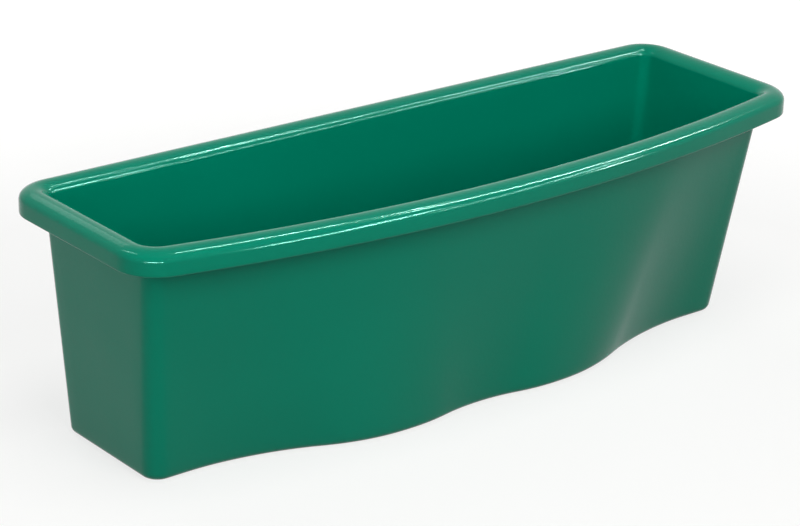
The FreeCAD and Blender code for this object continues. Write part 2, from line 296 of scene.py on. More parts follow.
def round_edges(mesh: bmesh.types.BMesh, edges: Iterable, radius: float, segments: int) -> dict:
    """Round edges over by a radius in millimetres, and return what the bevel made."""
    return bmesh.ops.bevel(mesh, geom=list(edges), offset=radius * MM, affect="EDGES",
                           segments=segments, profile=0.5, material=-1)


def fill_level(mesh: bmesh.types.BMesh, *rings: Iterable) -> None:
    """Close the level area between an outer ring and the rings inside it."""
    edges = [edge for ring in rings for edge in ring]
    bmesh.ops.triangle_fill(mesh, use_beauty=True, edges=edges, normal=(0, 0, 1))


def new_mesh() -> bmesh.types.BMesh:
    """An empty mesh that can number the vertices of its rings."""
    mesh = bmesh.new()
    mesh.verts.layers.int.new(COLUMN_LAYER)
    return mesh


def finish_piece(mesh: bmesh.types.BMesh, name: str, node: str,
                 material: bpy.types.Material) -> bpy.types.Object:
    """Turn a built mesh into a shown piece that stands for a construction node.

    Args:
        mesh: the finished mesh, which is freed.
        name: the piece's name.
        node: the node it replaces, which is also the body it rides on.
        material: its finish.

    Returns:
        The piece.
    """
    bmesh.ops.recalc_face_normals(mesh, faces=mesh.faces)
    for face in mesh.faces:
        face.smooth = True
    for edge in mesh.edges:
        edge.smooth = edge.calc_face_angle(0.0) < SHARP_ANGLE
    mesh.verts.layers.int.remove(mesh.verts.layers.int[COLUMN_LAYER])
    data = bpy.data.meshes.new(name)
    mesh.to_mesh(data)
    mesh.free()
    data.materials.append(material)
    piece = bpy.data.objects.new(name, data)
    bpy.context.scene.collection.objects.link(piece)
    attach(piece, node)
    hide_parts(node)
    log.info("%s: %d faces, replaces %s", name, len(data.polygons), node)
    return piece


# ------------------------------------------------------------------ outline of the wall
@dataclass(frozen=True)
class Station:
    """A point on the front of an outline, with the outline's angle there."""

    x: float
    y: float
    angle: float


@dataclass(frozen=True)
class Column:
    """An upright line of the wall.

    Attributes:
        foot: where it stands, in plan.
        foot_out: the way it faces there.
        rim: where it ends under the rim.
        rim_out: the way it faces there.
    """

    foot: Vector
    foot_out: Vector
    rim: Vector
    rim_out: Vector

    def at(self, row: Row, wall_top: float) -> Vector:
        """The column's point in a row, in metres."""
        share = 1.0 if row.zone is Zone.RIM else row.height / wall_top
        flat = (self.foot + self.foot_out * row.offset).lerp(self.rim + self.rim_out * row.offset,
                                                             share)
        return Vector((flat.x, flat.y, row.height)) * MM


@dataclass
class WallOutline:
    """The wall's outer face: a double wave at the foot, one bow under the rim, straight between."""

    length: float = 800.0
    end_depth: float = 220.0
    bow: float = 50.0
    overhang: float = 23.8
    wall_top: float = 238.0
    back_radius: float = 14.0
    front_radius: float = 18.0
    foot_end_inset: float = 45.0
    foot_back_inset: float = 26.0
    foot_front_inset: float = 48.5
    crest_x: float = 90.0
    crest_rise: float = 47.0
    valley_dip: float = 9.0
    flank_end_x: float = 312.0
    crest_share: float = 0.43
    valley_share: float = 0.5
    fan: float = 0.6
    span: float = 6.0
    corner_spans: int = 9
    columns: list[Column] = field(init=False)

    def __post_init__(self) -> None:
        """Work out the sizes that follow from the fields, and every column."""
        self.back_y = (self.end_depth + self.bow) / 2
        self.bow_radius = ((self.length / 2) ** 2 + self.bow ** 2) / (2 * self.bow)
        self.bow_centre_y = self.bow_radius - self.back_y
        self.foot_half = self.length / 2 - self.foot_end_inset
        self.rim_half = self.length / 2 - self.overhang
        self.foot_back_y = self.back_y - self.foot_back_inset
        self.rim_back_y = self.back_y - self.overhang
        self.foot_front_y = self.back_y - self.end_depth + self.foot_front_inset
        self.rim_radius = self.bow_radius - self.overhang
        self.end_angle = math.asin((self.rim_half - self.front_radius)
                                   / (self.rim_radius - self.front_radius))
        self.columns = self.back() + self.end(-1) + self.front() + self.end(1)

    def stations(self) -> list[Station]:
        """The points and angles that shape the front of the foot, from left to right."""
        crest_y = self.foot_front_y - self.crest_rise
        right = []
        bends = ((0.0, crest_y + self.valley_dip, self.crest_x, crest_y, self.valley_share),
                 (self.crest_x, crest_y, self.flank_end_x, self.foot_front_y, self.crest_share))
        for x0, y0, x1, y1, share in bends:
            right.append(Station(x0, y0, 0.0))
            right.append(Station(x0 + share * (x1 - x0), y0 + share * (y1 - y0),
                                 2 * math.atan2(y1 - y0, x1 - x0)))
        right.append(Station(self.flank_end_x, self.foot_front_y, 0.0))
        right.append(Station(self.foot_half - self.front_radius, self.foot_front_y, 0.0))
        return [Station(-s.x, s.y, -s.angle) for s in reversed(right[1:])] + right

    def bow_angle(self, x: float) -> float:
        """Where on the rim's bow the column ends that stands at x on the foot's front."""
        along = abs(x) / (self.foot_half - self.front_radius)
        return math.copysign(self.end_angle * (along + self.fan * along * (1 - along)), x)

    def front(self) -> list[Column]:
        """The columns of the front, from left to right."""
        stations = self.stations()
        knots = [self.bow_angle(s.x) for s in stations]
        points = [Vector((s.x, s.y)) for s in stations]
        slopes = []
        for number, station in enumerate(stations):
            before, after = max(number - 1, 0), min(number + 1, len(points) - 1)
            speed = (points[after] - points[before]).length / (knots[after] - knots[before])
            slopes.append(Vector((math.cos(station.angle), math.sin(station.angle))) * speed)
        columns = []
        for left in range(len(points) - 1):
            width = knots[left + 1] - knots[left]
            steps = max(2, round((points[left + 1] - points[left]).length / self.span))
            last = left == len(points) - 2
            for step in range(steps + last):
                columns.append(self.front_column(points[left:left + 2], slopes[left:left + 2],
                                                 knots[left], width, step / steps))
        return columns

    def front_column(self, ends: Sequence[Vector], slopes: Sequence[Vector], knot: float,
                     width: float, share: float) -> Column:
        """One column between two stations.

        Args:
            ends: the two stations' points.
            slopes: the curve's derivatives there.
            knot: the bow angle of the first station.
            width: the change of bow angle to the second.
            share: how far along the column stands.

        Returns:
            The column.
        """
        u = share
        point = (ends[0] * (2 * u ** 3 - 3 * u ** 2 + 1) + ends[1] * (3 * u ** 2 - 2 * u ** 3)
                 + slopes[0] * (width * (u ** 3 - 2 * u ** 2 + u))
                 + slopes[1] * (width * (u ** 3 - u ** 2)))
        along = ((ends[1] - ends[0]) * (6 * u - 6 * u ** 2)
                 + slopes[0] * (width * (3 * u ** 2 - 4 * u + 1))
                 + slopes[1] * (width * (3 * u ** 2 - 2 * u))).normalized()
        angle = knot + width * u
        rim_out = Vector((math.sin(angle), -math.cos(angle)))
        rim = rim_out * self.rim_radius + Vector((0.0, self.bow_centre_y))
        return Column(point, Vector((along.y, -along.x)), rim, rim_out)

    def back(self) -> list[Column]:
        """The columns of the straight back, from right to left, with both ends."""
        steps = round(2 * self.foot_half / (2 * self.span))
        columns = []
        for step in range(steps + 1):
            side = 1 - 2 * step / steps
            columns.append(Column(Vector((side * (self.foot_half - self.back_radius),
                                          self.foot_back_y)), Vector((0, 1)),
                                  Vector((side * (self.rim_half - self.back_radius),
                                          self.rim_back_y)), Vector((0, 1))))
        return columns

    def corner(self, side: int, foot: Vector, rim: Vector, radius: float,
               foot_turn: tuple[float, float], rim_turn: tuple[float, float],
               inner: tuple[int, int]) -> list[Column]:
        """The columns of an upright corner.

        Args:
            side: -1 on the left, 1 on the right.
            foot: the corner's centre on the ground, on the right.
            rim: its centre under the rim, on the right.
            radius: of the corner.
            foot_turn: first and last angle at the foot, in degrees, on the right.
            rim_turn: first and last angle under the rim.
            inner: spans left off at its start and end, because a neighbour has them.

        Returns:
            The columns.
        """
        columns = []
        for step in range(inner[0], self.corner_spans + 1 - inner[1]):
            share = step / self.corner_spans
            outs = []
            for first, last in (foot_turn, rim_turn):
                angle = math.radians(first + (last - first) * share)
                outs.append(Vector((side * math.cos(angle), math.sin(angle))))
            columns.append(Column(Vector((side * foot.x, foot.y)) + outs[0] * radius, outs[0],
                                  Vector((side * rim.x, rim.y)) + outs[1] * radius, outs[1]))
        return columns

    def end(self, side: int) -> list[Column]:
        """The columns of one end with its two corners, less those of the front and back."""
        bow_end = math.degrees(self.end_angle)
        front_foot_y = self.foot_front_y + self.front_radius
        front_rim_y = (self.bow_centre_y
                       - (self.rim_radius - self.front_radius) * math.cos(self.end_angle))
        back_centres = [Vector((half - self.back_radius, y - self.back_radius))
                        for half, y in ((self.foot_half, self.foot_back_y),
                                        (self.rim_half, self.rim_back_y))]
        front_centres = [Vector((self.foot_half - self.front_radius, front_foot_y)),
                         Vector((self.rim_half - self.front_radius, front_rim_y))]
        back = self.corner(side, *back_centres, self.back_radius, (90, 0), (90, 0), (1, 0))
        front = self.corner(side, *front_centres, self.front_radius, (0, -90), (0, bow_end - 90),
                            (0, 1))
        steps = round((back_centres[0].y - front_centres[0].y) / self.span / 2)
        flat = []
        for step in range(1, steps):
            share = step / steps
            flat.append(Column(back[-1].foot.lerp(front[0].foot, share), back[-1].foot_out,
                               back[-1].rim.lerp(front[0].rim, share), back[-1].rim_out))
        columns = back + flat + front
        return columns if side < 0 else list(reversed(columns))


# ------------------------------------------------------------------ trough
@dataclass
class Trough:
    """The moulded shell: wall, turned-down rim and a floor with two raised, drained panels."""

    wall: WallOutline
    height: float = 248.0
    skin: float = 3.2
    lip_skin: float = 3.0
    lip_drop: float = 13.0
    side_share: float = 0.8
    foot_radius: float = 7.0
    floor: float = 3.6
    panel_lift: float = 8.0
    panel_length: float = 300.0
    panel_depth: float = 100.0
    panel_bar: float = 50.0
    panel_back_inset: float = 24.0
    panel_radius: float = 16.0
    panel_draft: float = 4.0
    edge_round: float = 1.6
    drain_radius: float = 8.0
    drain_x: tuple[float, float] = (75.0, 275.0)
    drain_spans: int = 40
    drain_chamfer: float = 0.4
    panel_spans: int = 8
    wall_steps: int = 22
    hold: float = 2.0

    @property
    def panel_y(self) -> float:
        """The middle of the panels, from the back to the front."""
        return self.wall.foot_back_y - self.panel_back_inset - self.panel_depth / 2

    @property
    def panel_x(self) -> float:
        """The middle of the right panel along the trough."""
        return (self.panel_bar + self.panel_length) / 2

    @property
    def panel_top(self) -> float:
        """The height of the panels' upper faces."""
        return self.panel_lift + self.floor

    def rim_rows(self) -> list[Row]:
        """The rim's section, from the wall's outer face round the lip to its inner face."""
        top, over = self.wall.wall_top, self.wall.overhang
        lip_in = over - self.lip_skin
        rise = self.height - self.skin - top
        half = lip_in / 2
        under = (half ** 2 + rise ** 2) / (2 * rise)
        lean = math.degrees(math.asin(half / under))
        rows = quarter_rows(Row(self.height - self.skin - under, half, Zone.RIM), under,
                            90 + lean, 90 - lean, 12)
        edge = self.lip_skin / 2
        bottom = top - self.lip_drop + edge
        rows += [Row(bottom + (top - bottom) * share, lip_in, Zone.RIM) for share in (0.66, 0.33)]
        rows += quarter_rows(Row(bottom, over - edge, Zone.RIM), edge, -180, 0, 8)
        rows += [Row(bottom + (top - bottom) * share, over, Zone.RIM) for share in (0.33, 0.66)]
        return rows + self.dome_rows()

    def dome_rows(self) -> list[Row]:
        """The three arcs across the top of the rim, from its outer to its inner side."""
        top = self.wall.wall_top
        rise = self.height - top
        middle = (self.wall.overhang - self.skin) / 2
        half = (self.wall.overhang + self.skin) / 2
        side = self.side_share * rise
        crown = (half ** 2 + rise ** 2 - 2 * half * side) / (2 * (rise - side))
        turn = math.degrees(math.atan2(half - side, crown - rise))
        rows = quarter_rows(Row(top, middle + half - side, Zone.RIM), side, 0, 90 - turn, 8)
        rows += quarter_rows(Row(self.height - crown, middle, Zone.RIM), crown, 90 - turn,
                             90 + turn, 14)[1:]
        rows += quarter_rows(Row(top, middle - half + side, Zone.RIM), side, 90 + turn, 180, 8)[1:]
        return rows

    def shell_rows(self) -> list[Row]:
        """The whole section, from the underside round the rim to the floor inside."""
        top, foot = self.wall.wall_top, self.foot_radius
        inner_foot, steps = foot - self.skin, self.wall_steps
        outer = [Row(0.0, -foot - self.hold)]
        outer += quarter_rows(Row(foot, -foot), foot, -90, 0, 7)
        outer += [Row(foot + (top - foot) * step / steps, 0.0) for step in range(1, steps)]
        inner_low = self.floor + inner_foot
        inner = [Row(top + (inner_low - top) * step / steps, -self.skin)
                 for step in range(1, steps)]
        inner += quarter_rows(Row(inner_low, -foot), inner_foot, 0, -90, 6)
        inner.append(Row(self.floor, -foot - self.hold))
        return outer + self.rim_rows() + inner

    def panel_placer(self, centre: float) -> Callable[[int, Row], Vector]:
        """The function that places the vertices of a panel's outline, centred at centre."""
        corners = ((1, 1), (-1, 1), (-1, -1), (1, -1))

        def place(number: int, row: Row) -> Vector:
            """Place a vertex: the row's offset grows the outline."""
            quarter, step = divmod(number, self.panel_spans + 1)
            angle = math.pi / 2 * (quarter + step / self.panel_spans)
            radius = self.panel_radius + row.offset
            across = self.panel_length / 2 - self.panel_radius
            deep = self.panel_depth / 2 - self.panel_radius
            side_x, side_y = corners[quarter]
            return Vector((centre + side_x * across + radius * math.cos(angle),
                           self.panel_y + side_y * deep + radius * math.sin(angle),
                           row.height)) * MM

        return place

    def panel_rows(self, low: float, high: float, foot_offset: float, top_offset: float
                   ) -> list[Row]:
        """The side of a raised panel, rounded at its foot and at its top.

        Args:
            low: height of the level that the panel rises from.
            high: height of its flat top.
            foot_offset: how much its outline is grown at the foot.
            top_offset: how much it is grown at the top.

        Returns:
            The rows, from outside the foot to inside the top.
        """
        r, steps = self.edge_round, 4
        angles = [math.pi / 2 * step / steps for step in range(steps + 1)]
        rows = [Row(low, foot_offset + r + self.hold)]
        rows += [Row(low + r * (1 - math.cos(a)), foot_offset + r * (1 - math.sin(a)))
                 for a in angles]
        rows += [Row(high - r * (1 - math.sin(a)), top_offset - r * (1 - math.cos(a)))
                 for a in angles]
        return rows + [Row(high, top_offset - r - self.hold)]

    def build(self, material: bpy.types.Material) -> bpy.types.Object:
        """Model the shell and dress it.

        Args:
            material: its finish.

        Returns:
            The piece.
        """
        mesh = new_mesh()
        columns, top = self.wall.columns, self.wall.wall_top
        under, inside = sweep_ring(mesh, len(columns), self.shell_rows(),
                                   lambda number, row: columns[number].at(row, top))
        under_rings, floor_rings = [under], [inside]
        count, low, high = 4 * (self.panel_spans + 1), self.panel_lift, self.panel_top
        chamfer = self.drain_chamfer
        for side in (-1, 1):
            place = self.panel_placer(side * self.panel_x)
            recess = sweep_ring(mesh, count, self.panel_rows(0.0, low, 0.0, -self.panel_draft),
                                place)
            raised = sweep_ring(mesh, count, self.panel_rows(
                self.floor, high, self.skin, self.skin - self.panel_draft), place)
            under_rings.append(recess[0])
            floor_rings.append(raised[0])
            ceilings, tops = [recess[1]], [raised[1]]
            for x in self.drain_x:
                hole = sweep_ring(mesh, self.drain_spans, [
                    Row(low, self.hold), Row(low, chamfer), Row(low + chamfer, 0.0),
                    Row(high - chamfer, 0.0), Row(high, chamfer), Row(high, self.hold)],
                    round_placer(side * x, self.panel_y, self.drain_radius, self.drain_spans))
                ceilings.append(hole[0])
                tops.append(hole[1])
            fill_level(mesh, *ceilings)
            fill_level(mesh, *tops)
        fill_level(mesh, *under_rings)
        fill_level(mesh, *floor_rings)
        return finish_piece(mesh, "trough_shell", "trough", material)


# ------------------------------------------------------------------ drainage grids
@dataclass
class DrainGrid:
    """Half of the drainage floor: a slotted plate with a skirt, cross ribs and legs."""

    wall: WallOutline
    trough: Trough
    top: float = 46.0
    plate: float = 3.0
    wall_gap: float = 2.5
    split_gap: float = 2.0
    skirt_drop: float = 9.0
    skirt_wall: float = 2.4
    seat_gap: float = 0.25
    slot_length: float = 26.0
    slot_width: float = 4.0
    slot_first_x: float = 15.0
    slot_pitch: tuple[float, float] = (20.0, 36.0)
    slot_margin: float = 9.0
    lift_radius: float = 12.0
    lift_x: float = 145.0
    leg_radius: float = 6.5
    leg_foot_radius: float = 4.5
    leg_margin: float = 1.0
    leg_x: tuple[float, ...] = (45.0, 185.0, 305.0)
    leg_spread: float = 32.0
    rib_wall: float = 2.4
    rib_drop: float = 7.0
    rib_x: tuple[float, ...] = (105.0, 245.0)
    edge_round: float = 0.8
    finger_spans: int = 32
    slot_end_spans: int = 7
    slot_columns: int = 18
    slot_rows_each_way: int = 4

    def outline(self, gap: float) -> list[Vector]:
        """The right half's plan at the skirt, clear of the wall by the gap.

        Args:
            gap: distance from the trough's inner face.

        Returns:
            The corners of the plan, anticlockwise seen from above.
        """
        row = Row(self.top - self.skirt_drop, -self.trough.skin - gap)
        split = self.split_gap / 2 + gap - self.wall_gap
        points = [column.at(row, self.wall.wall_top) / MM for column in self.wall.columns]
        start = next(n for n, p in enumerate(points) if p.x < split)
        points = points[start:] + points[:start]
        kept = []
        for before, point in zip(points[-1:] + points[:-1], points):
            if (before.x < split) != (point.x < split):
                kept.append(before.lerp(point, (split - before.x) / (point.x - before.x)).to_2d())
            if point.x >= split and abs(point.x - split) > 0.01:
                kept.append(point.to_2d())
        return kept

    def legs(self) -> list[tuple[float, float, float]]:
        """Plan position of each leg of the right half, and the height of the floor under it."""
        trough = self.trough
        crest_y = self.wall.foot_front_y - self.wall.crest_rise + trough.skin
        panel_front = trough.panel_y - trough.panel_depth / 2 - trough.skin
        legs = [(x, trough.panel_y + side * self.leg_spread, trough.panel_top)
                for x in self.leg_x for side in (-1, 1)]
        return legs + [(self.wall.crest_x, (crest_y + panel_front) / 2, trough.floor)]

    def slots(self) -> list[tuple[float, float]]:
        """The middles of the right half's slots: every place of the pattern with room around it."""
        field_ring = self.outline(self.wall_gap + self.slot_margin)
        clear = [(x, y, self.leg_radius + self.leg_margin) for x, y, _ in self.legs()]
        clear.append((self.lift_x, self.trough.panel_y, self.lift_radius + self.leg_margin))
        half_w, half_l = self.slot_width / 2, self.slot_length / 2
        places = []
        most = self.slot_rows_each_way
        for number_x in range(self.slot_columns):
            x = self.slot_first_x + number_x * self.slot_pitch[0]
            for number_y in range(-most, most + 1):
                y = self.trough.panel_y + number_y * self.slot_pitch[1]
                inside = all(contains(field_ring, x + sx * half_w, y + sy * half_l)
                             for sx in (-1, 1) for sy in (-1, 1))
                free = all(math.hypot(max(abs(x - cx) - half_w, 0),
                                      max(abs(y - cy) - half_l, 0)) > r for cx, cy, r in clear)
                if inside and free:
                    places.append((x, y))
        return places

    def hole_rows(self) -> list[Row]:
        """The section of a hole through the plate, from above its top edge to its lower edge."""
        under, r = self.top - self.plate, 0.5
        return [Row(self.top, r + 0.6), Row(self.top, r), Row(self.top - 0.3 * r, 0.3 * r),
                Row(self.top - r, 0.0), Row(under, 0.0)]

    def build(self, side: int, material: bpy.types.Material) -> bpy.types.Object:
        """Model one half and dress it.

        Args:
            side: 1 for the right half, -1 for the left.
            material: its finish.

        Returns:
            The piece.
        """
        mesh = new_mesh()
        under, foot, r = self.top - self.plate, self.top - self.skirt_drop, self.edge_round
        ring = self.outline(self.wall_gap)
        mitres = mitred(ring)

        def place(number: int, row: Row) -> Vector:
            """Place a vertex of the plate's outline, moved out by the row's offset."""
            flat = ring[number] + mitres[number] * row.offset
            return Vector((flat.x, flat.y, row.height)) * MM

        rows = [Row(self.top, -r - 1.2), Row(self.top, -r), Row(self.top - 0.3 * r, -0.3 * r),
                Row(self.top - r, 0.0), Row(foot + 0.4, 0.0), Row(foot, -0.4),
                Row(foot, -self.skirt_wall + 0.4), Row(foot + 0.4, -self.skirt_wall),
                Row(under, -self.skirt_wall)]
        upper, lower = sweep_ring(mesh, len(ring), rows, place)
        tops, bottoms = [upper], [lower]
        for x, y in self.slots():
            holes = sweep_ring(mesh, 2 * (self.slot_end_spans + 1), self.hole_rows(),
                               self.slot_placer(x, y))
            tops.append(holes[0])
            bottoms.append(holes[1])
        finger = sweep_ring(mesh, self.finger_spans, self.hole_rows(), round_placer(
            self.lift_x, self.trough.panel_y, self.lift_radius, self.finger_spans))
        fill_level(mesh, *tops, finger[0])
        fill_level(mesh, *bottoms, finger[1])
        self.add_ribs(mesh, under)
        for x, y, floor in self.legs():
            self.add_leg(mesh, x, y, floor, under)
        name = "right" if side > 0 else "left"
        if side < 0:
            bmesh.ops.scale(mesh, vec=(-1, 1, 1), verts=mesh.verts)
        return finish_piece(mesh, f"drainage_grid_{name}", f"drain_grid_{name}",
                            material)

    def slot_placer(self, x: float, y: float) -> Callable[[int, Row], Vector]:
        """The function that places the vertices of a round-ended slot."""
        radius = self.slot_width / 2
        straight = self.slot_length / 2 - radius

        def place(number: int, row: Row) -> Vector:
            """Place a vertex: the row's offset widens the slot."""
            half, step = divmod(number, self.slot_end_spans + 1)
            angle = math.pi * (half + step / self.slot_end_spans)
            reach = radius + row.offset
            middle = y + (straight if half == 0 else -straight)
            return Vector((x + reach * math.cos(angle), middle + reach * math.sin(angle),
                           row.height)) * MM

        return place

    def add_ribs(self, mesh: bmesh.types.BMesh, under: float) -> None:
        """Add the cross ribs under the plate, from skirt to skirt."""
        ring = self.outline(self.wall_gap + self.skirt_wall / 2)
        for x in self.rib_x:
            crossings = [a.y + (b.y - a.y) * (x - a.x) / (b.x - a.x)
                         for a, b in zip(ring, ring[1:] + ring[:1]) if (a.x < x) != (b.x < x)]
            low, high = min(crossings), max(crossings)
            middle = Vector((x, (low + high) / 2, under - self.rib_drop / 2 + 0.2))
            lower = add_box(mesh, middle, (self.rib_wall, high - low, self.rib_drop))
            round_edges(mesh, lower, 0.5, 2)

    def add_leg(self, mesh: bmesh.types.BMesh, x: float, y: float, floor: float,
                under: float) -> None:
        """Add a tapered leg under the plate.

        Args:
            mesh: the mesh to build in.
            x: its place along the trough.
            y: its place from back to front.
            floor: height of the floor under it.
            under: height of the plate's underside.
        """
        foot = floor + self.seat_gap
        depth = under + 0.4 - foot
        middle = Matrix.Translation(Vector((x, y, foot + depth / 2)) * MM)
        cone = bmesh.ops.create_cone(mesh, cap_ends=True, segments=28, matrix=middle,
                                     radius1=self.leg_foot_radius * MM,
                                     radius2=self.leg_radius * MM, depth=depth * MM)
        rim = {edge for vertex in cone["verts"] for edge in vertex.link_edges
               if all(v.co.z < (foot + 0.01) * MM for v in edge.verts)}
        round_edges(mesh, rim, 0.7, 3)


def contains(ring: Sequence[Vector], x: float, y: float) -> bool:
    """Whether a point lies inside a closed ring of points."""
    inside = False
    for a, b in zip(ring, list(ring[1:]) + list(ring[:1])):
        if (a.y > y) != (b.y > y) and x < a.x + (y - a.y) * (b.x - a.x) / (b.y - a.y):
            inside = not inside
    return inside


def mitred(ring: Sequence[Vector]) -> list[Vector]:
    """For each corner of an anticlockwise ring, the step that moves both its sides out by one."""
    steps = []
    for number, point in enumerate(ring):
        before = (point - ring[number - 1]).normalized()
        after = (ring[(number + 1) % len(ring)] - point).normalized()
        outs = Vector((before.y, -before.x)), Vector((after.y, -after.x))
        steps.append((outs[0] + outs[1]) / (1 + outs[0].dot(outs[1])))
    return steps


# ------------------------------------------------------------------ drain plugs
@dataclass
class DrainPlug:
    """A push-in plug: a head under the panel, a hollow skirt through it and a tab to pull."""

    trough: Trough
    running_gap: float = 0.05
    seat_gap: float = 0.25
    head_radius: float = 13.0
    head_thickness: float = 2.4
    standout: float = 2.5
    skirt_wall: float = 2.2
    chamfer: float = 0.8
    tab_length: float = 14.0
    tab_thickness: float = 3.0
    tab_drop: float = 3.4
    spans: int = 56

    def build(self, number: int, x: float, material: bpy.types.Material) -> bpy.types.Object:
        """Model a plug and dress it.

        Args:
            number: the plug's number.
            x: its place along the trough.
            material: its finish.

        Returns:
            The piece.
        """
        mesh = new_mesh()
        skirt = self.trough.drain_radius - self.running_gap
        hollow = skirt - self.skirt_wall
        seat = self.trough.panel_lift - self.seat_gap
        under = seat - self.head_thickness
        top = self.trough.panel_top + self.standout
        r, c = 0.6, self.chamfer
        profile = [
            (0, under), (self.head_radius - 3, under), (self.head_radius - r, under),
            (self.head_radius - 0.3 * r, under + 0.3 * r), (self.head_radius, under + r),
            (self.head_radius, seat - 0.4), (self.head_radius - 0.4, seat), (skirt + 0.4, seat),
            (skirt, seat + 0.4), (skirt, top - c), (skirt - 0.3 * c, top - 0.3 * c),
            (skirt - c, top), (hollow + 0.3, top), (hollow, top - 0.3), (hollow, seat + 0.8),
            (hollow - 0.8, seat), (0, seat),
        ]
        verts = [mesh.verts.new(Vector((radius, 0, z)) * MM) for radius, z in profile]
        edges = [mesh.edges.new(pair) for pair in zip(verts, verts[1:])]
        bmesh.ops.spin(mesh, geom=verts + edges, cent=(0, 0, 0), axis=(0, 0, 1), dvec=(0, 0, 0),
                       angle=2 * math.pi, steps=self.spans, use_merge=True)
        bmesh.ops.remove_doubles(mesh, verts=mesh.verts, dist=0.01 * MM)
        low, high = under - self.tab_drop, under + self.head_thickness / 2
        lower = add_box(mesh, Vector((0, 0, (low + high) / 2)),
                        (self.tab_length, self.tab_thickness, high - low))
        corners = [edge for edge in lower
                   if abs(edge.verts[0].co.x - edge.verts[1].co.x) < 0.1 * MM]
        rounded = round_edges(mesh, corners, 2.0, 6)
        rim = {edge for face in rounded["faces"] for vertex in face.verts
               for edge in vertex.link_edges if edge.calc_face_angle(0.0) > math.radians(60)}
        round_edges(mesh, rim, 0.5, 2)
        bmesh.ops.translate(mesh, vec=Vector((x, self.trough.panel_y, 0)) * MM, verts=mesh.verts)
        return finish_piece(mesh, f"drain_plug_piece_{number}", f"drain_plug_{number}",
                            material)


# ------------------------------------------------------------------ studio
@dataclass(frozen=True)
class SoftBox:
    """A rectangular lamp that faces the planter, and either lights it or shows on it as a gleam.

    Attributes:
        name: the lamp's name.
        place: its middle, in metres.
        width: its size in metres, in the direction that along gives.
        tall: its size across that.
        radiance: how bright its face is, where 1 is white.
        along: the direction of its width.
        gleam: True shows it only as a reflection, False lights the piece without being reflected.
    """

    name: str
    place: tuple[float, float, float]
    width: float
    tall: float
    radiance: float
    along: tuple[float, float, float] = (1.0, 0.0, 0.0)
    gleam: bool = False

    @classmethod
    def tube(cls, name: str, start: tuple[float, float, float], end: tuple[float, float, float],
             tall: float, radiance: float) -> "SoftBox":
        """A slim gleam lamp between two points, which draws a light line on the rim.

        Args:
            name: the lamp's name.
            start: its first end, in metres.
            end: its other end.
            tall: its thickness.
            radiance: how bright it is.

        Returns:
            The lamp.
        """
        first, last = Vector(start), Vector(end)
        return cls(name, tuple((first + last) / 2), (last - first).length, tall, radiance,
                   tuple(last - first), True)

    def hang(self) -> bpy.types.Object:
        """Hang the lamp in the studio.

        Returns:
            The lamp.
        """
        data = bpy.data.lights.new(self.name, "AREA")
        data.shape = "RECTANGLE"
        data.size, data.size_y = self.width, self.tall
        data.energy = self.radiance * LAMP_WATTS * self.width * self.tall
        back = (Vector(self.place) - LAMP_TARGET).normalized()
        across = Vector(self.along)
        across = (across - back * across.dot(back)).normalized()
        turned = Matrix((across, back.cross(across), back)).transposed().to_4x4()
        lamp = bpy.data.objects.new(self.name, data)
        lamp.matrix_world = Matrix.Translation(Vector(self.place)) @ turned
        lamp.visible_diffuse = not self.gleam
        lamp.visible_glossy = self.gleam
        bpy.context.scene.collection.objects.link(lamp)
        return lamp


